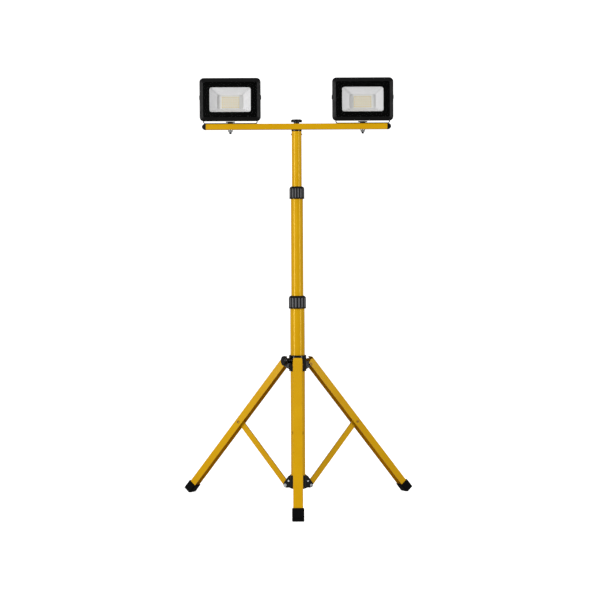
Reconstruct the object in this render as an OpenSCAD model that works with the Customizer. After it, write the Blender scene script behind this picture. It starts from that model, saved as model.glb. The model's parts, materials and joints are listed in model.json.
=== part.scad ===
// Twin-head LED work light on a telescopic mast with a folding tripod.
// The origin is on the floor under the mast. X runs along the crossbar, the lamps face -Y, Z is up.
// Lengths are in millimetres and angles in degrees.

/* [Mast] */
// Outside diameter of the lower mast tube
lower_od = 38; // [32:1:46]
// Wall of the three mast tubes
tube_wall = 1.2; // [0.8:0.1:1.6]
// Radial room between two nested tubes
tube_gap = 1.8; // [1.2:0.1:2.2]
// Height of the lower tube's bottom end above the floor
lower_tube_z = 35; // [20:1:50]
// Length of the lower tube
lower_len = 486; // [440:1:600]
// Length of the middle tube
mid_len = 470; // [400:1:480]
// How far the middle tube stands out of the lower tube
mid_out = 288; // [200:1:380]
// Length of the top tube
top_len = 450; // [300:1:460]
// How far the top tube stands out of the middle tube
top_out = 166; // [60:1:300]
// Length of the collet's skirt inside a tube
skirt_len = 40; // [20:1:60]
// Length of the guide bush on the lower end of an inner tube
bush_len = 25; // [15:1:40]

/* [Twist locks] */
// Height of the lower twist lock's grip
lower_lock_h = 34; // [30:1:45]
// Height of the upper twist lock's grip
upper_lock_h = 33; // [30:1:45]
// How far a grip reaches below the end of its tube
lock_drop = 11; // [8:1:20]
// Wall of the split collet
collet_wall = 1.4; // [1.2:0.1:1.8]
// Wall of the grip ring
grip_wall = 2.3; // [2.1:0.1:3]
// Number of flutes round a grip
flute_count = 16; // [12:1:20]

/* [Legs] */
// Angle of an open leg from the vertical
leg_angle = 40.1; // [36:0.1:42]
// Width of the leg channel
leg_w = 25; // [20:1:28]
// Depth of the leg channel
leg_d = 19; // [16:1:21]
// Wall of the leg channel
leg_wall = 1.2; // [1:0.1:1.6]
// Distance from the mast's axis to the hinge pins of legs and struts
pivot_r = 34; // [33:0.5:36]
// How far an upper hinge pin sits inside the leg's centre line
hinge_off = 6.4; // [4:0.1:8]
// Height of the upper hinge pins
upper_pivot_z = 363; // [340:1:400]
// Height of the lower hinge pins
lower_pivot_z = 40; // [36:1:48]
// Depth of the flat strut bar
strut_d = 16; // [12:0.5:16]
// Thickness of the flat strut bar
strut_t = 4; // [3:0.5:6]
// Radius of a hinge rivet's shank
rivet_r = 2.5; // [2:0.1:3]
// Wall of a rubber foot
foot_wall = 2.8; // [2:0.1:4]
// Length of a rubber foot along the leg
foot_len = 29; // [26:1:45]

/* [Collars] */
// Wall of the two leg collars
collar_wall = 3.8; // [3.5:0.1:4.5]
// Height of the sliding upper collar
upper_collar_h = 42; // [34:1:50]
// Height of the fixed lower collar
lower_collar_h = 35; // [30:1:45]
// Diameter of the clamp knob on the upper collar
clamp_knob_d = 26; // [20:1:32]
// Compass angle of the clamp knob round the mast
clamp_angle = 210; // [200:1:220]

/* [Crossbar] */
// Length of the crossbar's steel tube
bar_len = 475; // [450:1:600]
// Depth of the crossbar, front to back
bar_d = 30; // [28:1:40]
// Height of the crossbar
bar_h = 15.5; // [12:0.5:18]
// Wall of the crossbar
bar_wall = 1.5; // [1:0.1:2]
// Distance from the mast's axis to each lamp
head_x = 173.5; // [150:0.5:180]
// Width across the lobes of the crossbar knob
bar_knob_d = 29; // [22:1:36]

/* [Lamp heads] */
// Width of a lamp head
head_w = 160; // [150:1:200]
// Height of a lamp head
head_h = 113; // [108:1:130]
// Height of the tilt axis above the head's middle
pivot_above_middle = 6; // [0:0.5:10]
// Bare height between the strap and the head's lower edge
head_gap = 4.5; // [4.5:0.5:20]
// Width of the rim's bevel
bevel = 9; // [6:0.5:12]
// Width of the clear window
window_w = 108; // [90:1:110]
// Height of the clear window
window_h = 64; // [55:1:66]
// Thickness of the front glass
glass_t = 4; // [3:0.5:5]
// LED columns
led_cols = 8; // [4:1:10]
// LED rows
led_rows = 5; // [3:1:6]
// Spacing of the LED columns
led_pitch_x = 6; // [4:0.1:6.5]
// Spacing of the LED rows
led_pitch_z = 6.4; // [4:0.1:6.5]
// Number of cooling fins on a housing's back
fin_count = 13; // [7:2:15]

/* [Lamp brackets] */
// Thickness of the bracket's steel strap
strap_t = 2; // [1.5:0.5:3]
// Width of the bracket's steel strap
strap_w = 18; // [14:1:18]

/* [Fits] */
// Radial clearance of a sliding or turning fit
run = 0.1; // [0.05:0.01:0.1]
// Gap between parts that pass each other
gap = 0.3; // [0.2:0.1:0.5]

/* [Hidden] */
$fn = 64;
LEGS = [["front", 270], ["left", 150], ["right", 30]];
MESH_FN = 32;
EPS = 0.5;

// Mast
mid_od = lower_od - 2 * (tube_wall + tube_gap);
top_od = mid_od - 2 * (tube_wall + tube_gap);
lower_top = lower_tube_z + lower_len;
mid_top = lower_top + mid_out;
mid_z = mid_top - mid_len;
top_top = mid_top + top_out;
top_z = top_top - top_len;
collet_rise = 12;
flange_h = 4.5;
bar_corner = 2.5;
bar_z = top_top + flange_h;
bar_top = bar_z + bar_h;
cross_pin_r = 2;
cross_pin_z = top_top - 8;
stud_z = cross_pin_z + cross_pin_r + 1;

// Leg linkage. The two pins lie on one vertical line and the strut is as long as the leg's upper part,
// so the upper collar runs straight up the mast as the legs fold.
foot_r = pivot_r + upper_pivot_z * tan(leg_angle) + hinge_off / cos(leg_angle);
mid_pivot_z = (upper_pivot_z + lower_pivot_z) / 2;
mid_pivot_r = foot_r - mid_pivot_z * tan(leg_angle);
strut_len = norm([mid_pivot_r - pivot_r, mid_pivot_z - lower_pivot_z]);
strut_angle = atan2(mid_pivot_r - pivot_r, mid_pivot_z - lower_pivot_z);
hinge_x = -hinge_off;
hinge_s = (foot_r - pivot_r) * sin(leg_angle) + upper_pivot_z * cos(leg_angle);
mid_pivot_s = mid_pivot_z / cos(leg_angle);
leg_corner = 2;
leg_start = 12;
web_over = 11.5;
foot_half = leg_d / 2 + foot_wall;
sole_cut = 3.5;
foot_end = (foot_half * sin(leg_angle) - sole_cut) / cos(leg_angle);
ear_r = 7.5;
rivet_head_r = 4;
rivet_head_t = 1.4;
rivet_hollow_r = 1.5;
rivet_hollow_depth = 2.4;
tongue_w = leg_w - 2 * leg_wall - 1.6;
clevis_gap = strut_t + 2 * gap;
brace_r = 1.6;
// The brace rivets stand just inside the struts, when these are folded upright.
brace_x = pivot_r - strut_d / 2 - brace_r - gap;
brace_z = lower_pivot_z + 12;
clevis_w = leg_w - 2 * leg_wall - 2 * (rivet_head_t + gap) - 1;

// Collars
collar_r = lower_od / 2 + collar_wall;
upper_collar_z = upper_pivot_z - 18;
clamp_z = upper_pivot_z + 10;
clamp_screw_r = 3;
boss_end = collar_r + 8;
clamp_knob_gap = 2.5;

// Lamp heads, in a frame whose origin is on the tilt axis and whose -Y points out of the window
head_mid = -pivot_above_middle;
head_low = head_mid - head_h / 2;
pivot_z = bar_top + strap_t + head_gap - head_low;
rim_back = -strap_w / 2 - 0.5;
rim_band = 3;
rim_front = rim_back - rim_band - 5;
rim_r = 11;
recess_w = head_w - 2 * bevel - 2;
recess_h = head_h - 2 * bevel - 2;
glass_w = recess_w - 2 * gap;
glass_h = recess_h - 2 * gap;
gasket_t = 1;
ledge_y = rim_front + glass_t + gasket_t;
body_w = head_w - 24;
body_h = head_h - 15;
body_back = 12;
back_wall = 3;
cavity_w = body_w - 16;
cavity_h = body_h - 14;
board_t = 1.6;
board_y = body_back - back_wall - board_t;
led_t = 0.7;
led_w = 4.8;
led_h = 5;
floor_w = led_cols * led_pitch_x + 14;
floor_h = led_rows * led_pitch_z + 0.5;
floor_drop = 6;
fin_h = 8;
fin_t = 2;
arm_in = body_w / 2 + 1 + gap;
arm_out = arm_in + strap_t;
gland_x = 50;
gland_z = -30;
gland_bore = 3.3;
m6 = 3;
m8 = 4;

// ---- Shared shapes ----

// Rectangle with round corners, centred
module rounded_rect(w, h, r) {
  square([w - 2 * r, h], center = true);
  square([w, h - 2 * r], center = true);
  for (x = [-1, 1], y = [-1, 1])
    translate([x * (w / 2 - r), y * (h / 2 - r)]) circle(r);
}

// Round tube that stands on z = 0
module pipe(r_out, r_in, h) {
  difference() {
    cylinder(r = r_out, h = h);
    translate([0, 0, -EPS]) cylinder(r = r_in, h = h + 2 * EPS);
  }
}

// Plate with its outline in X and Z, from y0 to y1
module upright(y0, y1) {
  translate([0, y1, 0]) rotate([90, 0, 0]) linear_extrude(y1 - y0) children();
}

// Cylinder along X, from x0 to x1
module x_rod(r, x0, x1) {
  translate([x0, 0, 0]) rotate([0, 90, 0]) cylinder(r = r, h = x1 - x0);
}

// Cylinder along Y, centred
module y_rod(r, len) {
  rotate([90, 0, 0]) cylinder(r = r, h = len, center = true);
}

// Rivet along Y that clamps a stack of the given width between its two heads. Each head has a hollow middle.
module rivet(stack) {
  difference() {
    union() {
      y_rod(rivet_r, stack + 2 * rivet_head_t);
      for (side = [-1, 1])
        translate([0, side * (stack + rivet_head_t) / 2, 0]) y_rod(rivet_head_r, rivet_head_t);
    }
    for (side = [-1, 1])
      translate([0, side * (stack / 2 + rivet_head_t), 0]) y_rod(rivet_hollow_r, 2 * rivet_hollow_depth);
  }
}

// ---- Frames ----

// Local z runs up the leg from the floor, local x points out of the channel's web
module on_leg(angle) {
  rotate([0, 0, angle]) translate([foot_r, 0, 0]) rotate([0, -leg_angle, 0]) children();
}

// Local z runs up the strut from its lower pin
module on_strut(angle) {
  rotate([0, 0, angle]) translate([pivot_r, 0, lower_pivot_z]) rotate([0, strut_angle, 0]) children();
}

// Origin on a lamp's tilt axis
module on_head(side) {
  translate([side * head_x, 0, pivot_z]) children();
}

// Origin on the crossbar's top face, under a lamp
module on_bar(side) {
  translate([side * head_x, 0, bar_top]) children();
}

// ---- Mast ----

module lower_tube() {
  color("#e0a80c") translate([0, 0, lower_tube_z])
    pipe(lower_od / 2, lower_od / 2 - tube_wall, lower_len);
}

module mid_tube() {
  color("#e0a80c") translate([0, 0, mid_z]) pipe(mid_od / 2, mid_od / 2 - tube_wall, mid_len);
}

module top_tube() {
  color("#e0a80c") difference() {
    translate([0, 0, top_z]) pipe(top_od / 2, top_od / 2 - tube_wall, top_len);
    translate([0, 0, cross_pin_z]) x_rod(cross_pin_r, -top_od, top_od);
  }
}

// Plug that closes the lower tube's bottom end
module lower_plug() {
  plug_r = lower_od / 2 - tube_wall;
  color("#1c1c1e") difference() {
    union() {
      translate([0, 0, lower_tube_z - 2]) cylinder(r = lower_od / 2, h = 2);
      translate([0, 0, lower_tube_z - EPS]) cylinder(r = plug_r, h = 15 + EPS);
    }
    translate([0, 0, lower_tube_z]) cylinder(r = plug_r - 2, h = 16);
  }
}

// Split collet on the end of an outer tube. Its fingers grip the inner tube.
module collet(outer_od, inner_od, end_z) {
  grip_r = inner_od / 2 + run;
  color("#26262a") translate([0, 0, end_z]) difference() {
    union() {
      translate([0, 0, -lock_drop + 1]) pipe(outer_od / 2 + collet_wall, outer_od / 2, lock_drop - 1);
      pipe(outer_od / 2 + collet_wall, grip_r, collet_rise);
      translate([0, 0, -skirt_len]) pipe(outer_od / 2 - tube_wall, grip_r, skirt_len + EPS);
    }
    for (a = [45:90:315])
      rotate([0, 0, a]) translate([inner_od / 2 - 1, -0.75, 4]) cube([outer_od, 1.5, collet_rise]);
  }
}

module lower_collet() {
  collet(lower_od, mid_od, lower_top);
}

module upper_collet() {
  collet(mid_od, top_od, mid_top);
}

// Fluted grip ring with a domed shoulder, turned to tighten the collet inside it
module lock_grip(outer_od, inner_od, end_z, h) {
  bore_r = outer_od / 2 + collet_wall + run;
  out_r = bore_r + grip_wall;
  dome = 8;
  flute_r = 3;
  flute_depth = 1.5;
  color("#1c1c1e") translate([0, 0, end_z - lock_drop]) difference() {
    rotate_extrude() {
      square([out_r, h - dome]);
      square([out_r - dome, h]);
      translate([out_r - dome, h - dome]) circle(dome);
    }
    translate([0, 0, -EPS]) cylinder(r = bore_r, h = lock_drop + collet_rise + gap + EPS);
    cylinder(r = inner_od / 2 + gap, h = h + 1);
    for (a = [0:360 / flute_count:359])
      rotate([0, 0, a]) translate([out_r + flute_r - flute_depth, 0, 3]) cylinder(r = flute_r, h = h);
  }
}

module lower_lock_grip() {
  lock_grip(lower_od, mid_od, lower_top, lower_lock_h);
}

module upper_lock_grip() {
  lock_grip(mid_od, top_od, mid_top, upper_lock_h);
}

// Plastic bush round the lower end of an inner tube
module bush(outer_od, inner_od, z) {
  color("#d8d8d4") translate([0, 0, z]) union() {
    pipe(outer_od / 2 - tube_wall - run, inner_od / 2, bush_len);
    translate([0, 0, -2]) pipe(outer_od / 2 - tube_wall - run, inner_od / 2 - tube_wall, 2);
  }
}

module mid_bush() {
  bush(lower_od, mid_od, mid_z);
}

module top_bush() {
  bush(mid_od, top_od, top_z);
}

// Flanged plug in the top tube's end, which carries the crossbar and its stud
module top_plug() {
  stem = 27;
  color("#1c1c1e") difference() {
    union() {
      translate([0, 0, top_top]) cylinder(r = top_od / 2 + 0.5, h = flange_h);
      translate([0, 0, top_top - stem]) cylinder(r = top_od / 2 - tube_wall, h = stem + EPS);
    }
    translate([0, 0, stud_z]) cylinder(r = m8, h = bar_z);
    translate([0, 0, cross_pin_z]) x_rod(cross_pin_r, -top_od, top_od);
  }
}

module top_cross_pin() {
  reach = top_od / 2 + 2;
  color("silver") translate([0, 0, cross_pin_z]) x_rod(cross_pin_r, -reach, reach);
}

module bar_stud() {
  color("silver") translate([0, 0, stud_z]) cylinder(r = m8, h = bar_top + 8 - stud_z);
}

// ---- Crossbar ----

module crossbar() {
  color("#e0a80c") difference() {
    translate([-bar_len / 2, 0, bar_z + bar_h / 2]) rotate([90, 0, 90]) linear_extrude(bar_len)
      difference() {
        rounded_rect(bar_d, bar_h, bar_corner);
        rounded_rect(bar_d - 2 * bar_wall, bar_h - 2 * bar_wall, bar_corner - bar_wall);
      }
    translate([0, 0, bar_z - 1]) cylinder(r = m8 + run, h = bar_h + 2);
    for (side = [-1, 1])
      on_bar(side) translate([0, 0, -bar_h - 1]) cylinder(r = m6, h = bar_h + 2);
  }
}

// Push-in caps with a domed outside
module bar_end_caps() {
  cover = 2.25;
  nose = bar_h / 2;
  color("#1c1c1e") for (side = [-1, 1])
    translate([side * bar_len / 2, 0, bar_z + nose]) scale([side, 1, 1]) {
      upright(-bar_d / 2, bar_d / 2) {
        translate([0, -nose]) square([cover, bar_h]);
        translate([cover, 0]) intersection() {
          circle(nose);
          translate([-EPS, -nose]) square([nose + EPS, bar_h]);
        }
      }
      translate([-10, 0, 0]) rotate([90, 0, 90]) linear_extrude(10 + EPS)
        rounded_rect(bar_d - 2 * bar_wall, bar_h - 2 * bar_wall, bar_corner - bar_wall);
    }
}

// Lobed hand knob on the stud
module bar_knob() {
  lobes = 6;
  lobe_r = 3.6;
  neck_h = 3.5;
  head = 7.5;
  ring_r = bar_knob_d / 2 - lobe_r;
  color("#1c1c1e") translate([0, 0, bar_top]) difference() {
    union() {
      cylinder(r = 7, h = neck_h + EPS);
      translate([0, 0, neck_h]) {
        cylinder(r = ring_r + 0.6, h = head);
        for (i = [0:lobes - 1])
          rotate([0, 0, i * 360 / lobes]) translate([ring_r, 0, 0]) cylinder(r = lobe_r, h = head - 1);
      }
    }
    translate([0, 0, -EPS]) cylinder(r = m8 + run, h = 8.5 + EPS);
  }
}

// ---- Collars and clamp ----

// Fixed collar at the mast's foot, with a clevis for each strut
module lower_collar() {
  z0 = lower_tube_z - 1;
  knuckle = 6.2;
  color("#1c1c1e") difference() {
    union() {
      translate([0, 0, z0]) cylinder(r = collar_r - 0.5, h = lower_collar_h);
      for (leg = LEGS)
        rotate([0, 0, leg[1]]) upright(-clevis_w / 2, clevis_w / 2) {
          translate([pivot_r, lower_pivot_z]) circle(knuckle);
          polygon([[lower_od / 2 + 1, z0], [pivot_r, lower_pivot_z - knuckle],
            [pivot_r + knuckle, lower_pivot_z], [pivot_r + knuckle, lower_pivot_z + 5],
            [collar_r + 2.5, z0 + lower_collar_h - 4], [lower_od / 2 + 1, z0 + lower_collar_h - 1]]);
        }
    }
    translate([0, 0, z0 - 1]) cylinder(r = lower_od / 2, h = lower_collar_h + 2);
    for (leg = LEGS)
      rotate([0, 0, leg[1]]) {
        translate([collar_r + 0.3, -clevis_gap / 2, 0]) cube([pivot_r, clevis_gap, upper_pivot_z / 2]);
        translate([pivot_r, 0, lower_pivot_z]) y_rod(rivet_r, clevis_w + 1);
        translate([brace_x, 0, brace_z]) y_rod(brace_r, clevis_w + 1);
      }
  }
}

// Three strut pins, and three small rivets that brace the clevises
module lower_rivets() {
  color("silver") for (leg = LEGS)
    rotate([0, 0, leg[1]]) {
      translate([pivot_r, 0, lower_pivot_z]) rivet(clevis_w);
      translate([brace_x, 0, brace_z]) {
        y_rod(brace_r, clevis_w + 2);
        for (side = [-1, 1])
          translate([0, side * (clevis_w + 1) / 2, 0]) y_rod(2.4, 1);
      }
    }
}

// Sliding collar with a tongue inside each leg channel and a boss for the clamp screw
module upper_collar() {
  tongue_top = upper_pivot_z + 7.5;
  color("#1c1c1e") difference() {
    union() {
      translate([0, 0, upper_collar_z]) rotate_extrude() {
        square([collar_r, upper_collar_h - 2]);
        square([collar_r - 2, upper_collar_h]);
        translate([collar_r - 2, upper_collar_h - 2]) circle(2);
      }
      for (leg = LEGS)
        rotate([0, 0, leg[1]]) upright(-tongue_w / 2, tongue_w / 2) {
          translate([pivot_r, upper_pivot_z]) circle(7.5);
          polygon([[lower_od / 2 + 1, upper_pivot_z - 14], [pivot_r, upper_pivot_z - 7.5],
            [pivot_r, tongue_top], [lower_od / 2 + 1, tongue_top]]);
        }
      rotate([0, 0, clamp_angle]) translate([0, 0, clamp_z]) x_rod(7, lower_od / 2 + 1, boss_end);
    }
    translate([0, 0, upper_collar_z - 1]) cylinder(r = lower_od / 2 + gap, h = upper_collar_h + 2);
    rotate([0, 0, clamp_angle]) translate([0, 0, clamp_z]) x_rod(clamp_screw_r + run, 0, boss_end + 1);
    for (leg = LEGS)
      rotate([0, 0, leg[1]]) translate([pivot_r, 0, upper_pivot_z]) y_rod(rivet_r, tongue_w + 1);
  }
}

module upper_rivets() {
  color("silver") for (leg = LEGS)
    rotate([0, 0, leg[1]]) translate([pivot_r, 0, upper_pivot_z]) rivet(leg_w + 2 * gap);
}

module on_clamp() {
  rotate([0, 0, clamp_angle]) translate([0, 0, clamp_z]) children();
}

module clamp_screw() {
  color("silver") on_clamp() x_rod(clamp_screw_r, lower_od / 2 + 0.15, boss_end + clamp_knob_gap + 9);
}

// Round clamp knob with a domed face and shallow finger grooves
module clamp_knob() {
  r = clamp_knob_d / 2;
  thick = 9;
  grooves = 12;
  color("#1c1c1e") on_clamp() translate([boss_end + clamp_knob_gap, 0, 0]) rotate([0, 90, 0]) difference() {
    union() {
      cylinder(r = 7, h = 3.5);
      translate([0, 0, 3]) rotate_extrude() {
        square([r - 3, thick]);
        translate([0, 2]) square([r, thick - 5]);
        translate([r - 3, thick - 3]) circle(3);
        translate([r - 2, 2]) circle(2);
      }
    }
    translate([0, 0, -EPS]) cylinder(r = clamp_screw_r, h = 9 + EPS);
    for (i = [0:grooves - 1])
      rotate([0, 0, i * 360 / grooves]) translate([r + 1.2, 0, 0]) cylinder(r = 2, h = 20);
  }
}

// ---- Legs, feet and struts ----

// Outline across a leg: round corners on the web's side, square on the open side
module leg_outline() {
  translate([-leg_d / 4, 0]) square([leg_d / 2, leg_w], center = true);
  rounded_rect(leg_d, leg_w, leg_corner);
}

// Endless leg section along local z
module channel(length) {
  linear_extrude(length) difference() {
    leg_outline();
    translate([-leg_d - leg_wall, 0])
      rounded_rect(3 * leg_d, leg_w - 2 * leg_wall, leg_corner - leg_wall);
  }
}

// Steel channel, open towards the mast. The web reaches past the round ends of the flanks.
module leg(angle) {
  web_end = hinge_s + web_over;
  tongue = 30;
  color("#e0a80c") on_leg(angle) difference() {
    union() {
      intersection() {
        channel(web_end);
        upright(-leg_w, leg_w) {
          translate([-leg_d / 2, leg_start]) square([leg_d, hinge_s - leg_start]);
          translate([0, hinge_s]) circle(leg_d / 2);
          translate([hinge_x, hinge_s]) circle(ear_r);
        }
      }
      intersection() {
        channel(web_end);
        translate([leg_d / 2 - leg_wall, 0, web_end - tongue / 2]) rotate([90, 0, 90])
          linear_extrude(leg_wall) rounded_rect(leg_w, tongue, 5);
      }
    }
    translate([hinge_x, 0, hinge_s]) y_rod(rivet_r + run, leg_w + 1);
    translate([0, 0, mid_pivot_s]) y_rod(rivet_r, leg_w + 1);
  }
}

// Rivet across the channel, thick at both sides of the strut to keep it in the middle
module leg_rivet(angle) {
  shoulder = (leg_w - 2 * leg_wall - strut_t) / 2 - gap;
  color("silver") on_leg(angle) translate([0, 0, mid_pivot_s]) {
    rivet(leg_w);
    for (side = [-1, 1])
      translate([0, side * (strut_t / 2 + gap + shoulder / 2), 0]) y_rod(rivet_head_r, shoulder);
  }
}

// Outline of a foot along the leg, well rounded at the end and a little at the mouth
module foot_outline(w) {
  mouth = foot_len / 2;
  translate([0, foot_end + foot_len / 2]) rounded_rect(w, foot_len, 5);
  translate([0, foot_end + foot_len - mouth / 2]) rounded_rect(w, mouth, 2);
}

// Rubber cap on the leg's end. It stands on a small flat along its inner edge.
module foot(angle) {
  wide = leg_w + 2 * foot_wall;
  reach = 2 * foot_r;
  color("#1a1a1a") difference() {
    intersection() {
      on_leg(angle) intersection() {
        translate([0, 0, foot_end]) linear_extrude(foot_len) rounded_rect(2 * foot_half, wide, 4);
        upright(-wide, wide) foot_outline(2 * foot_half);
        translate([-foot_half - 1, 0, 0]) rotate([90, 0, 90]) linear_extrude(2 * foot_half + 2)
          foot_outline(wide);
      }
      translate([-reach, -reach, 0]) cube([2 * reach, 2 * reach, 2 * foot_len]);
    }
    on_leg(angle) translate([0, 0, leg_start]) linear_extrude(2 * foot_len) leg_outline();
  }
}

// Flat bar between the lower collar and the leg
module strut(angle) {
  color("#e0a80c") on_strut(angle) difference() {
    upright(-strut_t / 2, strut_t / 2) {
      translate([-strut_d / 2, 0]) square([strut_d, strut_len]);
      for (end = [0, strut_len])
        translate([0, end]) circle(strut_d / 2);
    }
    for (end = [0, strut_len])
      translate([0, 0, end]) y_rod(rivet_r + run, strut_t + 1);
  }
}

// ---- Lamp heads ----

// Cast housing: bevelled rim, shallow box, cooling fins, side bosses and a pad for the cable gland
module housing(side) {
  fin_span = body_w - 14;
  color("#1a1a1a") on_head(side) difference() {
    union() {
      translate([0, 0, head_mid]) {
        hull($fn = MESH_FN) {
          upright(rim_back - rim_band, rim_back) rounded_rect(head_w, head_h, rim_r);
          upright(rim_front, rim_back)
            rounded_rect(head_w - 2 * bevel, head_h - 2 * bevel, rim_r - 5);
        }
        upright(rim_back - EPS, body_back) rounded_rect(body_w, body_h, 8);
        for (i = [0:fin_count - 1])
          translate([(i / (fin_count - 1) - 0.5) * fin_span, 0, 0])
            upright(body_back - EPS, body_back + fin_h) square([fin_t, body_h - 14], center = true);
      }
      x_rod(strap_w / 2, -body_w / 2 - 1, body_w / 2 + 1);
      translate([gland_x, 0, gland_z]) upright(body_back - EPS, body_back + fin_h) circle(11);
    }
    translate([0, 0, head_mid]) {
      upright(rim_front - 1, ledge_y) rounded_rect(recess_w, recess_h, 5);
      upright(rim_front, body_back - back_wall) rounded_rect(cavity_w, cavity_h, 4);
    }
    for (s = [-1, 1])
      scale([s, 1, 1]) x_rod(m6, body_w / 2 - 6.5, body_w / 2 + 2);
    translate([gland_x, 0, gland_z]) upright(0, body_back + fin_h + 1) circle(6);
  }
}

module gasket(side) {
  color("#0c0c0c") on_head(side) translate([0, 0, head_mid])
    upright(ledge_y - gasket_t, ledge_y) difference() {
      rounded_rect(glass_w, glass_h, 5);
      rounded_rect(cavity_w + 2, cavity_h + 2, 4);
    }
}

module glass(side) {
  color("#aab4b8", 0.5) on_head(side) translate([0, 0, head_mid])
    upright(rim_front, rim_front + glass_t) rounded_rect(glass_w, glass_h, 5);
}

// Tapered tray of thin plastic. Its open floor frames the LEDs, below the window's middle.
module reflector(side) {
  skin = 1;
  mouth_w = window_w + 4;
  mouth_h = window_h + 4;
  front = ledge_y + gap;
  back = board_y - gap;
  color("#dcdcdc") on_head(side) translate([0, 0, head_mid]) difference() {
    union() {
      upright(front, front + skin) rounded_rect(cavity_w - 1, cavity_h - 1, 4);
      hull($fn = MESH_FN) {
        upright(front, front + skin) rounded_rect(mouth_w + 2 * skin, mouth_h + 2 * skin, 6);
        translate([0, 0, -floor_drop]) upright(back - skin, back)
          rounded_rect(floor_w + 2 * skin, floor_h + 2 * skin, 3);
      }
    }
    hull($fn = MESH_FN) {
      upright(front - 1, front) rounded_rect(mouth_w, mouth_h, 6);
      translate([0, 0, -floor_drop]) upright(back, back + 1) rounded_rect(floor_w, floor_h, 3);
    }
  }
}

module led_board(side) {
  color("#f0f0ec") on_head(side) difference() {
    translate([0, 0, head_mid]) upright(board_y, board_y + board_t)
      rounded_rect(cavity_w - 1.5, cavity_h - 1.5, 3);
    translate([gland_x, 0, gland_z]) upright(board_y - 1, body_back) circle(4.5);
  }
}

module leds(side) {
  color("#f0e4a8") on_head(side) translate([0, board_y, head_mid - floor_drop])
    for (i = [0:led_cols - 1], j = [0:led_rows - 1])
      translate([(i - (led_cols - 1) / 2) * led_pitch_x, -led_t / 2, (j - (led_rows - 1) / 2) * led_pitch_z])
        cube([led_w, led_t, led_h], center = true);
}

// Rectifier, driver chips, choke, capacitor and terminal block on the board, behind the reflector's top wall
module driver(side) {
  shelf = head_mid + cavity_h / 2 - 11;
  color("#2e3436") on_head(side) translate([0, board_y, shelf]) {
    for (x = [-14, 6])
      translate([x, -1, 0]) cube([7, 2, 5], center = true);
    translate([-30, -1.25, 0]) cube([6, 2.5, 6], center = true);
    translate([24, -2.5, 0]) cube([9, 5, 8], center = true);
    translate([38, 0, 0]) rotate([90, 0, 0]) cylinder(r = 4, h = 7);
    translate([-44, -3.5, 0]) cube([12, 7, 8], center = true);
  }
}

// Threaded gland with a hexagon, a domed nut and a bore for the supply lead
module cable_gland(side) {
  pad = body_back + fin_h;
  color("#1a1a1a") on_head(side) translate([gland_x, 0, gland_z]) difference() {
    union() {
      upright(board_y + board_t, pad + 1) circle(6);
      upright(pad, pad + 5) circle(r = 9.8, $fn = 6);
      translate([0, pad + 5 - EPS, 0]) rotate([-90, 0, 0]) rotate_extrude() {
        square([8, 8]);
        square([5, 11]);
        translate([5, 8]) circle(3);
      }
    }
    upright(0, pad + 20) circle(gland_bore);
  }
}

// Two hexagon bolts with washers, screwed into the side bosses through the bracket's arms
module pivot_bolts(side) {
  face = arm_out + run;
  color("#26262a") on_head(side) for (s = [-1, 1])
    scale([s, 1, 1]) {
      x_rod(m6, body_w / 2 - 6, face + 3);
      x_rod(7, face, face + 1.6);
      x_rod(5, face + 1.5, face + 3.1);
      translate([face + 3, 0, 0]) rotate([0, 90, 0]) cylinder(r = 5.8, h = 6.8, $fn = 6);
    }
}

// Steel strap bent into a U, with a round end on each arm
module bracket(side) {
  arm_h = pivot_z - bar_top;
  bend = 6;
  slot_x = body_w / 4 + 10;
  color("#1c1c1e") on_bar(side) difference() {
    intersection() {
      upright(-strap_w / 2, strap_w / 2) difference() {
        translate([0, arm_h]) rounded_rect(2 * arm_out, 2 * arm_h, bend);
        translate([0, arm_h + strap_t]) rounded_rect(2 * arm_in, 2 * arm_h, bend - strap_t);
      }
      rotate([90, 0, 90]) linear_extrude(2 * arm_out, center = true) {
        translate([-strap_w / 2, 0]) square([strap_w, arm_h]);
        translate([0, arm_h]) circle(strap_w / 2);
      }
    }
    translate([0, 0, arm_h]) x_rod(m6 + run, -arm_out - 1, arm_out + 1);
    translate([0, 0, -1]) cylinder(r = m6 + run, h = strap_t + 2);
    for (s = [-1, 1])
      translate([s * slot_x, 0, -1]) linear_extrude(strap_t + 2) {
        square([14, 6.5], center = true);
        for (e = [-7, 7])
          translate([e, 0]) circle(3.25);
      }
  }
}

// Bolt with a low round head that holds the bracket down on the crossbar
module base_bolt(side) {
  below = bar_h + 11;
  color("#1c1c1e") on_bar(side) {
    translate([0, 0, -below]) cylinder(r = m6, h = below + strap_t + 1);
    translate([0, 0, strap_t + run]) cylinder(r = 7, h = 1.7);
    translate([0, 0, strap_t + 1.5]) rotate_extrude() {
      square([11.5, 2.3]);
      translate([11.5, 1.15]) circle(1.15);
    }
  }
}

module base_nut(side) {
  color("silver") on_bar(side) translate([0, 0, -bar_h]) difference() {
    union() {
      translate([0, 0, -1.2]) cylinder(r = 6.2, h = 1.2);
      translate([0, 0, -6.2]) cylinder(r = 5.8, h = 5.1, $fn = 6);
    }
    translate([0, 0, -7]) cylinder(r = m6, h = 8);
  }
}

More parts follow.
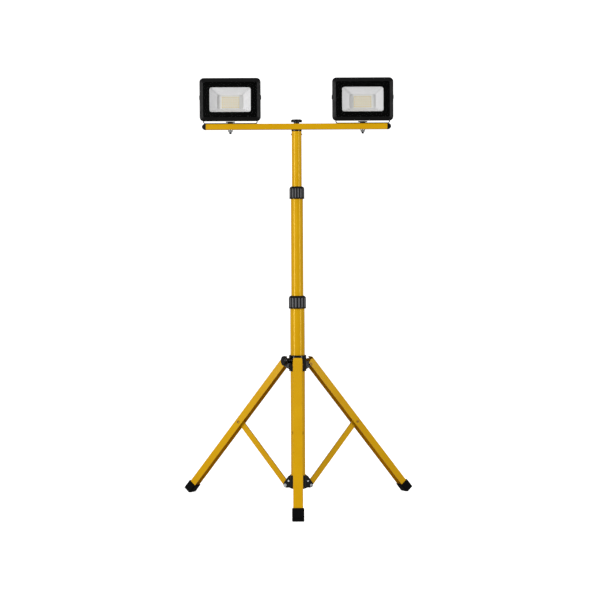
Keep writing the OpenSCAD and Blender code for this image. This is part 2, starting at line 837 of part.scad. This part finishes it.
lower_tube();
lower_plug();
lower_collar();
lower_rivets();
lower_collet();
lower_lock_grip();
mid_tube();
mid_bush();
upper_collet();
upper_lock_grip();
top_tube();
top_bush();
top_plug();
top_cross_pin();
bar_stud();
crossbar();
bar_end_caps();
bar_knob();
upper_collar();
upper_rivets();
clamp_screw();
clamp_knob();
leg(LEGS[0][1]);  // leg_front
foot(LEGS[0][1]);  // foot_front
leg_rivet(LEGS[0][1]);  // leg_rivet_front
strut(LEGS[0][1]);  // strut_front
leg(LEGS[1][1]);  // leg_left
foot(LEGS[1][1]);  // foot_left
leg_rivet(LEGS[1][1]);  // leg_rivet_left
strut(LEGS[1][1]);  // strut_left
leg(LEGS[2][1]);  // leg_right
foot(LEGS[2][1]);  // foot_right
leg_rivet(LEGS[2][1]);  // leg_rivet_right
strut(LEGS[2][1]);  // strut_right
housing(-1);  // housing_left
gasket(-1);  // gasket_left
glass(-1);  // glass_left
reflector(-1);  // reflector_left
led_board(-1);  // led_board_left
leds(-1);  // leds_left
driver(-1);  // driver_left
cable_gland(-1);  // cable_gland_left
pivot_bolts(-1);  // pivot_bolts_left
bracket(-1);  // bracket_left
base_bolt(-1);  // base_bolt_left
base_nut(-1);  // base_nut_left
housing(1);  // housing_right
gasket(1);  // gasket_right
glass(1);  // glass_right
reflector(1);  // reflector_right
led_board(1);  // led_board_right
leds(1);  // leds_right
driver(1);  // driver_right
cable_gland(1);  // cable_gland_right
pivot_bolts(1);  // pivot_bolts_right
bracket(1);  // bracket_right
base_bolt(1);  // base_bolt_right
base_nut(1);  // base_nut_right
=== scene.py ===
"""Looks for a twin-head LED work light on a telescopic mast with a folding tripod.

Lengths are in metres in the part's own frame: the origin is on the floor under the mast, X runs along the
crossbar, the lamps face -Y and Z is up. Places come from the frame's own boxes.
"""
import json
import math

import bmesh
import bpy
from mathutils import Matrix, Vector


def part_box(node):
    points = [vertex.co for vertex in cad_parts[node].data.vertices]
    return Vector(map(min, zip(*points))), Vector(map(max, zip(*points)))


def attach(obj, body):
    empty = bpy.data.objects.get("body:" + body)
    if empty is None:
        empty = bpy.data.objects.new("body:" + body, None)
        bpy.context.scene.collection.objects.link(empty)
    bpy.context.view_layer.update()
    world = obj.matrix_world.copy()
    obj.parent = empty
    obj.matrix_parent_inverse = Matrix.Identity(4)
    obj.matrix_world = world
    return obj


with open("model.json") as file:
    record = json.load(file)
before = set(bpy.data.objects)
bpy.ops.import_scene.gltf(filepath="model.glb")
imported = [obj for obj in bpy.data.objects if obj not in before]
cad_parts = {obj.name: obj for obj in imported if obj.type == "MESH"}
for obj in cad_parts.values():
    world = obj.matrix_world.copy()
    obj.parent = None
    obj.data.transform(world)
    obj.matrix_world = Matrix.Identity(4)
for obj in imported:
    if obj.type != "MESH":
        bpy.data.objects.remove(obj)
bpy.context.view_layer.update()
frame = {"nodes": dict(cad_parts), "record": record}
nodes = frame["nodes"]
MM = 0.001
SIDES = ("left", "right")


def new_object(name, data):
    """An object of its own, linked to the scene."""
    item = bpy.data.objects.new(name, data)
    bpy.context.scene.collection.objects.link(item)
    return item


# ---- Camera ----

def place_camera():
    """A long lens in front of the stand, lower than the lamps and tipped down to take in the feet."""
    data = bpy.data.cameras.new("camera")
    data.sensor_width = 36
    data.lens = 114
    data.clip_end = 50
    camera = new_object("camera", data)
    place = (0.0069, -5.0, 0.7741)
    pitch, roll = math.radians(2.772), math.radians(-0.27)
    turn = Matrix.Rotation(math.pi / 2 - pitch, 4, "X") @ Matrix.Rotation(roll, 4, "Z")
    camera.matrix_world = Matrix.Translation(place) @ turn
    bpy.context.scene.camera = camera


place_camera()


# ---- Material tools ----

def linear(hex_code):
    """An sRGB colour such as #E0A80C as linear values."""
    parts = [int(hex_code[i:i + 2], 16) / 255 for i in (1, 3, 5)]
    return tuple(p / 12.92 if p <= 0.04045 else ((p + 0.055) / 1.055) ** 2.4 for p in parts) + (1.0,)


def grey(value):
    """A plain number as a colour, for the roughness or for white light."""
    return (value, value, value, 1.0)


def add(tree, kind, inputs=None, **settings):
    """Adds a node. inputs maps its sockets to values or to other nodes' outputs."""
    node = tree.nodes.new(kind)
    for name, value in settings.items():
        setattr(node, name, value)
    for socket, value in (inputs or {}).items():
        if isinstance(value, bpy.types.NodeSocket):
            tree.links.new(value, node.inputs[socket])
        else:
            node.inputs[socket].default_value = value
    return node


def shader(name, **sockets):
    """A material with one principled shader. Underscores in the socket names stand for spaces."""
    material = bpy.data.materials.new(name)
    material.use_nodes = True
    tree = material.node_tree
    tree.nodes.clear()
    surface = add(tree, "ShaderNodeBsdfPrincipled",
                  {key.replace("_", " "): value for key, value in sockets.items()})
    add(tree, "ShaderNodeOutputMaterial", {"Surface": surface.outputs["BSDF"]})
    return material, tree, surface


def feed(tree, surface, **sockets):
    """Links patterns to the shader's sockets, named as in shader()."""
    for key, value in sockets.items():
        tree.links.new(value, surface.inputs[key.replace("_", " ")])


def blotches(tree, width, low, high):
    """Soft blotches between two colours, fixed to the piece. width is the real size of one blotch."""
    place = add(tree, "ShaderNodeTexCoord").outputs["Object"]
    cloud = add(tree, "ShaderNodeTexNoise", {"Vector": place, "Scale": 1 / width, "Detail": 3.0})
    blend = add(tree, "ShaderNodeValToRGB", {"Fac": cloud.outputs["Fac"]})
    # The noise keeps mostly between these two values.
    span = (0.3, 0.7)
    for stop, position, colour in zip(blend.color_ramp.elements, span, (low, high)):
        stop.position = position
        stop.color = colour
    return blend.outputs["Color"]


def grain(tree, width, depth, detail=3.0):
    """A fine raised grain, fixed to the piece. width and depth are the real size of one grain."""
    place = add(tree, "ShaderNodeTexCoord").outputs["Object"]
    cloud = add(tree, "ShaderNodeTexNoise", {"Vector": place, "Scale": 1 / width, "Detail": detail})
    return add(tree, "ShaderNodeBump", {"Height": cloud.outputs["Fac"], "Distance": depth,
                                        "Strength": 1.0}).outputs["Normal"]


def mottled(name, tones, tone_size, gloss, gloss_size, relief=None, **sockets):
    """A finish whose colour and gloss drift in soft blotches, over a fine grain.

    tones are its darker and its lighter colour, gloss its lowest and highest roughness, and the sizes are
    those of one blotch. relief is what grain() takes. The other values go to the shader's own sockets.
    """
    material, tree, surface = shader(name, **sockets)
    feed(tree, surface,
         Base_Color=blotches(tree, tone_size, *[linear(tone) for tone in tones]),
         Roughness=blotches(tree, gloss_size, *[grey(value) for value in gloss]))
    if relief:
        feed(tree, surface, Normal=grain(tree, *relief))
    return material


# ---- Finishes ----

def yellow_powder_coat():
    """Polyester powder coat, baked on steel: even gloss with the slow ripple called orange peel.

    The ripple is about 2 mm from crest to crest. The warm tint keeps the highlights yellow, as the coat's
    own pigment does.
    """
    return mottled("yellow_powder_coat", ("#DBA306", "#E2AC0A"), 60 * MM, (0.2, 0.27), 20 * MM,
                   (2 * MM, 0.02 * MM, 1.0), IOR=1.5, Specular_Tint=linear("#FFE27A"))


def black_polypropylene():
    """Polypropylene from a lightly blasted mould: deep black, glossy enough to catch lines of light.

    The grain is about 0.4 mm.
    """
    return mottled("black_polypropylene", ("#060607", "#0A0A0B"), 30 * MM, (0.18, 0.25), 6 * MM,
                   (0.4 * MM, 0.01 * MM, 2.0), IOR=1.49, Specular_IOR_Level=0.25)


def crest_highlight_polypropylene(low, high):
    """The same moulding for a twist-lock grip, with a painted highlight: its rib crests are painted pale grey
    and its grooves left black.

    low and high are the corners of the grip's box. The mast's centre line is the Z axis.
    """
    material, tree, surface = shader("crest_highlight_polypropylene", IOR=1.49, Specular_IOR_Level=0.15)
    place = add(tree, "ShaderNodeTexCoord").outputs["Object"]
    height = add(tree, "ShaderNodeSeparateXYZ", {"Vector": place}).outputs["Z"]
    level = add(tree, "ShaderNodeVectorMath", {0: place, 1: (1, 1, 0)}, operation="MULTIPLY")
    radius = add(tree, "ShaderNodeVectorMath", {0: level.outputs["Vector"]},
                 operation="LENGTH").outputs["Value"]
    # The painted highlight on the crests fades in over half a millimetre, just below them.
    crest = (high.x - low.x) / 2
    crest_mask = add(tree, "ShaderNodeMapRange", {"Value": radius, "From Min": crest - 0.6 * MM,
                                              "From Max": crest - 0.1 * MM}).outputs["Result"]
    # The plain rim below the ribs is 3 mm tall and gets no painted highlight.
    ribbed = add(tree, "ShaderNodeMapRange", {"Value": height, "From Min": low.z + 3 * MM,
                                              "From Max": low.z + 4.5 * MM}).outputs["Result"]
    painted_highlight = add(tree, "ShaderNodeMath", {0: crest_mask, 1: ribbed}, operation="MULTIPLY").outputs["Value"]
    # Black in the grooves and pale grey on the crests: the pale grey is a painted highlight.
    tone = add(tree, "ShaderNodeValToRGB", {"Fac": painted_highlight})
    for stop, colour in zip(tone.color_ramp.elements, ("#050506", "#68686A")):
        stop.color = linear(colour)
    feed(tree, surface, Base_Color=tone.outputs["Color"],
         Roughness=blotches(tree, 6 * MM, grey(0.3), grey(0.4)), Normal=grain(tree, 0.4 * MM, 0.01 * MM, 2.0))
    return material


def dark_nylon():
    """Nylon moulding: slightly waxy and greyer than the polypropylene."""
    return mottled("dark_nylon", ("#232326", "#2B2B2F"), 12 * MM, (0.42, 0.52), 4 * MM,
                   (0.6 * MM, 0.02 * MM), IOR=1.53)


def natural_nylon():
    """Undyed nylon moulding: milky off-white."""
    return mottled("natural_nylon", ("#D5D3CB", "#E2E0D9"), 8 * MM, (0.4, 0.5), 3 * MM,
                   IOR=1.53, Subsurface_Weight=0.1)


def zinc_plate():
    """Bright zinc plate on steel: soft mirror with faint cloudy patches."""
    return mottled("zinc_plate", ("#A2A6A9", "#BBBFC2"), 5 * MM, (0.26, 0.42), 1.5 * MM,
                   (0.3 * MM, 0.01 * MM), Metallic=1.0)


def yellow_zinc():
    """Zinc with a yellow chromate on steel: dull gold, with cloudy patches."""
    return mottled("yellow_zinc", ("#8C6A2A", "#A98238"), 4 * MM, (0.38, 0.52), 1.5 * MM,
                   (0.3 * MM, 0.01 * MM), Metallic=1.0)


def black_coated_steel():
    """Thin black powder coat on pressed steel: satin, with a fine pimple."""
    return mottled("black_coated_steel", ("#0B0B0C", "#111112"), 15 * MM, (0.34, 0.46), 5 * MM,
                   (1.0 * MM, 0.03 * MM, 1.0), IOR=1.5, Specular_IOR_Level=0.3)


def black_rubber():
    """Moulded rubber, filled with carbon black: the dullest and deepest black on the stand."""
    return mottled("black_rubber", ("#030303", "#070707"), 9 * MM, (0.62, 0.78), 4 * MM,
                   (0.7 * MM, 0.05 * MM), IOR=1.52, Specular_IOR_Level=0.08)


def black_cast_aluminium():
    """Powder coat on a die casting: a close satin texture that softens the highlights."""
    return mottled("black_cast_aluminium", ("#09090A", "#0E0E0F"), 25 * MM, (0.40, 0.52), 7 * MM,
                   (0.8 * MM, 0.04 * MM, 2.0), IOR=1.5, Specular_IOR_Level=0.15)


def toughened_glass():
    """Float glass, thermally toughened: clear, with a faint green cast."""
    return shader("toughened_glass", Base_Color=linear("#0C1410"), Roughness=0.02, IOR=1.52, Alpha=0.05)[0]


def printed_border():
    """Ceramic ink fired on the back of the glass: dense, even black."""
    return mottled("printed_border", ("#020202", "#040404"), 20 * MM, (0.16, 0.22), 10 * MM,
                   IOR=1.52, Specular_IOR_Level=0.06)


def white_abs():
    """ABS from a polished mould: white tray with a soft gloss."""
    return mottled("white_abs", ("#FAFAFB", "#FDFDFE"), 30 * MM, (0.22, 0.3), 12 * MM, IOR=1.53)


def white_solder_mask():
    """White solder mask on an aluminium board: flat, with a faint relief from the tracks under it."""
    return mottled("white_solder_mask", ("#F3F3F0", "#FAFAF8"), 3 * MM, (0.4, 0.5), 6 * MM,
                   (1.2 * MM, 0.03 * MM), IOR=1.5)


def yellow_phosphor():
    """Phosphor in clear silicone, poured into each LED's cup: pale yellow and slightly grainy."""
    return mottled("yellow_phosphor", ("#E6CC66", "#F2DE88"), 0.25 * MM, (0.3, 0.45), 1.0 * MM, IOR=1.41)


def black_epoxy():
    """Moulded epoxy of the driver's chips: dark grey and dull."""
    return mottled("black_epoxy", ("#1B1D1F", "#25282A"), 2 * MM, (0.45, 0.6), 1 * MM, IOR=1.55)


# The finish of each of the record's material slots
FINISHES = {"yellow_paint": yellow_powder_coat(), "black_plastic": black_polypropylene(),
            "dark_nylon": dark_nylon(), "white_nylon": natural_nylon(), "zinc_steel": zinc_plate(),
            "yellow_zinc": yellow_zinc(), "black_steel": black_coated_steel(), "black_rubber": black_rubber(),
            "black_casting": black_cast_aluminium(), "front_glass": toughened_glass(),
            "white_reflector": white_abs(), "white_board": white_solder_mask(), "phosphor": yellow_phosphor(),
            "components": black_epoxy()}


def finish_nodes():
    """Gives every carried-over node the finish of its slot, and the grips one with a painted highlight on
    their rib crests.
    """
    for part in frame["record"]["subparts"]:
        mesh = nodes[part["node"]].data
        mesh.materials.clear()
        mesh.materials.append(FINISHES[part["material_slot"]])
    for grip in ("lower_lock_grip", "upper_lock_grip"):
        nodes[grip].data.materials[0] = crest_highlight_polypropylene(*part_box(grip))


finish_nodes()


# ---- Softened edges ----

# Width in millimetres of the softened edge on each kind of part
EDGES = {"crossbar": 0.4, "bar_end_caps": 1.2, "bar_knob": 1.0, "lower_collar": 0.7, "upper_collar": 0.7,
         "top_plug": 0.4, "lower_lock_grip": 0.9, "upper_lock_grip": 0.9, "clamp_knob": 0.4,
         "lower_rivets": 0.5, "upper_rivets": 0.7, "top_cross_pin": 0.5, "base_bolt": 0.4, "base_nut": 0.5,
         "pivot_bolts": 0.6, "bracket": 0.3, "leg_rivet": 0.7, "leg": 0.3, "strut": 0.3, "cable_gland": 0.4,
         "housing": 0.5, "foot": 2.2}


def soften_edges():
    """Rounds the sharp edges of the carried-over nodes, so that they catch a line of light."""
    for name, node in nodes.items():
        kind = next((k for k in EDGES if name == k or name.startswith(k + "_")), None)
        if kind is None:
            continue
        bevel = node.modifiers.new("softened_edges", "BEVEL")
        bevel.width = EDGES[kind] * MM
        bevel.segments = 2
        bevel.limit_method = "ANGLE"
        bevel.angle_limit = math.radians(35)
        bevel.harden_normals = True


soften_edges()


# ---- Lamp details ----

def rounded_outline(width, height, radius, steps=8):
    """Points round a rectangle with round corners, in X and Z, centred on the origin."""
    points = []
    for i, (sx, sz) in enumerate(((1, 1), (-1, 1), (-1, -1), (1, -1))):
        centre = Vector((sx * (width / 2 - radius), 0, sz * (height / 2 - radius)))
        for step in range(steps + 1):
            angle = math.radians(90 * i + 90 * step / steps)
            points.append(centre + Vector((math.cos(angle), 0, math.sin(angle))) * radius)
    return points


def new_piece(name, mesh, body, finish):
    """A new piece that rides on a body."""
    piece = new_object(name, mesh)
    piece.data.materials.append(finish)
    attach(piece, body)
    return piece


def mesh_from(name, build):
    """A mesh that the build function fills."""
    grid = bmesh.new()
    build(grid)
    bmesh.ops.recalc_face_normals(grid, faces=grid.faces)
    mesh = bpy.data.meshes.new(name)
    grid.to_mesh(mesh)
    grid.free()
    return mesh


def ring(grid, points):
    """A closed ring of points, for bridge()."""
    return [grid.verts.new(p) for p in points]


def bridge(grid, low, high):
    """Quads between two rings with the same number of points."""
    count = len(low)
    for i in range(count):
        j = (i + 1) % count
        grid.faces.new((low[i], low[j], high[j], high[i]))


def border(side):
    """The printed border on the back of the front glass, with a clear window in its middle."""
    low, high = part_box(f"glass_{side}")
    middle = (low + high) / 2
    inset, thick, lift = 0.4 * MM, 0.1 * MM, 0.05 * MM
    # Width, height and corner radius of each outline
    edge = (high.x - low.x - 2 * inset, high.z - low.z - 2 * inset, 4.6 * MM)
    window = (108 * MM, 64 * MM, 6 * MM)

    def build(grid):
        layers = []
        for depth in (high.y - lift - thick, high.y - lift):
            at = Vector((middle.x, depth, middle.z))
            layers.append([ring(grid, [at + p for p in rounded_outline(*outline)])
                           for outline in (edge, window)])
        (front_out, front_in), (back_out, back_in) = layers
        bridge(grid, front_out, front_in)
        bridge(grid, back_in, back_out)
        bridge(grid, front_out, back_out)
        bridge(grid, front_in, back_in)

    piece = new_piece(f"glass_border_{side}", mesh_from("glass_border", build), f"head_{side}", printed_ink)


def led_frames(side):
    """The white plastic rim of every LED. The yellow filling shows inside it."""
    low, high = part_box(f"leds_{side}")
    columns, rows, proud, sunk = 8, 5, 0.12 * MM, 0.3 * MM
    wide, tall, rim = 4.86 * MM, 5.06 * MM, 0.85 * MM
    corner, cup_corner, facets = 0.3 * MM, 0.8 * MM, 4
    step_x = (high.x - low.x - wide) / (columns - 1)
    step_z = (high.z - low.z - tall) / (rows - 1)
    outer = rounded_outline(wide, tall, corner, facets)
    inner = rounded_outline(wide - 2 * rim, tall - 2 * rim, cup_corner, facets)

    def build(grid):
        for column in range(columns):
            for row in range(rows):
                centre = Vector((low.x + wide / 2 + column * step_x, low.y, low.z + tall / 2 + row * step_z))
                rings = [ring(grid, [centre + p + Vector((0, depth, 0)) for p in line])
                         for line, depth in ((inner, sunk), (inner, -proud), (outer, -proud), (outer, sunk))]
                for first, second in zip(rings, rings[1:] + rings[:1]):
                    bridge(grid, first, second)

    piece = new_piece(f"led_frames_{side}", mesh_from("led_frames", build), f"head_{side}",
                      FINISHES["white_reflector"])


# Every thread that shows is an M6: its shank's radius and its pitch.
SCREW_R, PITCH = 3 * MM, 1 * MM


def thread(name, body, slot, start, along, length):
    """A screw thread's ridge, wound round a plain shank from start."""
    along = Vector(along).normalized()
    across = along.orthogonal().normalized()
    third = along.cross(across)
    # Steps in one turn, the ridge's height, and how deep its foot is sunk in the shank
    steps, height, sunk = 20, 0.28 * MM, 0.1 * MM
    # Half the foot's width, so that the foot takes up two thirds of the pitch
    half = PITCH * 0.34
    turns = (length - 2 * half) / PITCH

    def build(grid):
        rings = []
        count = int(turns * steps)
        for i in range(count + 1):
            angle = math.tau * i / steps
            out = across * math.cos(angle) + third * math.sin(angle)
            middle = Vector(start) + along * (half + PITCH * i / steps)
            # The ridge fades in and out over a quarter turn.
            fade = min(1.0, i / (steps / 4), (count - i) / (steps / 4))
            crest = SCREW_R + height * fade
            foot = out * (SCREW_R - sunk)
            rings.append(ring(grid, [middle + foot - along * half, middle + out * crest,
                                     middle + foot + along * half]))
        for low, high in zip(rings, rings[1:]):
            bridge(grid, low, high)
        grid.faces.new(rings[0])
        grid.faces.new(rings[-1])

    new_piece(name, mesh_from("thread", build), body, FINISHES[slot])


def threads():
    """Threads where they show: on the ends of the base bolts and on the clamp screw by its knob."""
    low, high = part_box("clamp_screw")
    middle = (low + high) / 2
    outward = Vector((middle.x, middle.y, 0)).normalized()
    length = (high.x - low.x - 2 * SCREW_R * abs(outward.y)) / abs(outward.x)
    # The screw's last stretch is in the knob, and the next one shows between the knob and the collar's boss.
    in_knob, bare, clear = 9 * MM, 2.5 * MM, 0.1 * MM
    start = middle + outward * (length / 2 - in_knob - bare + clear)
    thread("clamp_thread", "clamp", "zinc_steel", start, outward, bare - 2 * clear)
    chamfer = 0.4 * MM
    for side in SIDES:
        low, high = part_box(f"base_bolt_{side}")
        nut_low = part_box(f"base_nut_{side}")[0]
        middle = (low + high) / 2
        thread(f"bolt_thread_{side}", "crossbar", "black_steel", (middle.x, middle.y, low.z + chamfer),
               (0, 0, 1), nut_low.z - low.z - chamfer)


printed_ink = printed_border()
for side in SIDES:
    border(side)
    led_frames(side)
threads()


# ---- Studio ----

def sweep_mesh():
    """A round floor that bends up into a wall all round."""
    floor, bend, rise, bend_steps, turns = 6.5, 1.5, 6.0, 12, 64
    profile = [(floor, 0.0)]
    for step in range(1, bend_steps + 1):
        angle = math.radians(90 * step / bend_steps)
        profile.append((floor + bend * math.sin(angle), bend * (1 - math.cos(angle))))
    profile.append((floor + bend, rise))
    headings = [math.tau * i / turns for i in range(turns)]

    def build(grid):
        rings = [ring(grid, [(radius * math.cos(a), radius * math.sin(a), height) for a in headings])
                 for radius, height in profile]
        grid.faces.new(rings[0])
        for low, high in zip(rings, rings[1:]):
            bridge(grid, low, high)

    return mesh_from("studio_sweep", build)


def softbox(name, place, target, size, power):
    """A rectangular soft light, sized in metres and powered in watts, that the camera doesn't see."""
    data = bpy.data.lights.new(name, "AREA")
    data.shape = "RECTANGLE"
    data.size, data.size_y = size
    data.energy = power
    light = new_object(name, data)
    light.location = place
    light.rotation_euler = (Vector(target) - Vector(place)).to_track_quat("-Z", "Y").to_euler()
    light.visible_camera = False


def studio():
    """White paper all round, an even sky, a pair of tall soft lights and two weaker ones."""
    sweep = new_object("studio_sweep", sweep_mesh())
    # The paper glows a little, as it does on a light table, and throws no light back on the stand.
    paper, tree, surface = shader("studio_paper", Roughness=0.9, IOR=1.4, Emission_Color=grey(1.0),
                                  Emission_Strength=0.9)
    feed(tree, surface, Base_Color=blotches(tree, 400 * MM, linear("#F4F4F4"), linear("#F7F7F7")))
    sweep.data.materials.append(paper)
    sweep.visible_diffuse = False
    sweep.visible_glossy = False

    world = bpy.data.worlds.new("studio")
    bpy.context.scene.world = world
    world.use_nodes = True
    tree = world.node_tree
    tree.nodes.clear()
    sky = add(tree, "ShaderNodeBackground", {"Color": grey(1.0), "Strength": 0.32})
    add(tree, "ShaderNodeOutputWorld", {"Surface": sky.outputs["Background"]})

    softbox("left_softbox", (-2.4, -1.75, 0.87), (0, 0, 0.6), (0.3, 1.7), 50)
    softbox("right_softbox", (2.4, -1.75, 0.87), (0, 0, 0.6), (0.3, 1.7), 34)
    softbox("front_softbox", (-0.8, -2.6, 0.9), (0, 0, 0.5), (0.7, 0.7), 3)
    softbox("top_softbox", (0, 0.6, 3.2), (0, 0.6, 0), (3.0, 3.0), 12)
    bpy.context.scene.view_settings.view_transform = "Standard"


studio()
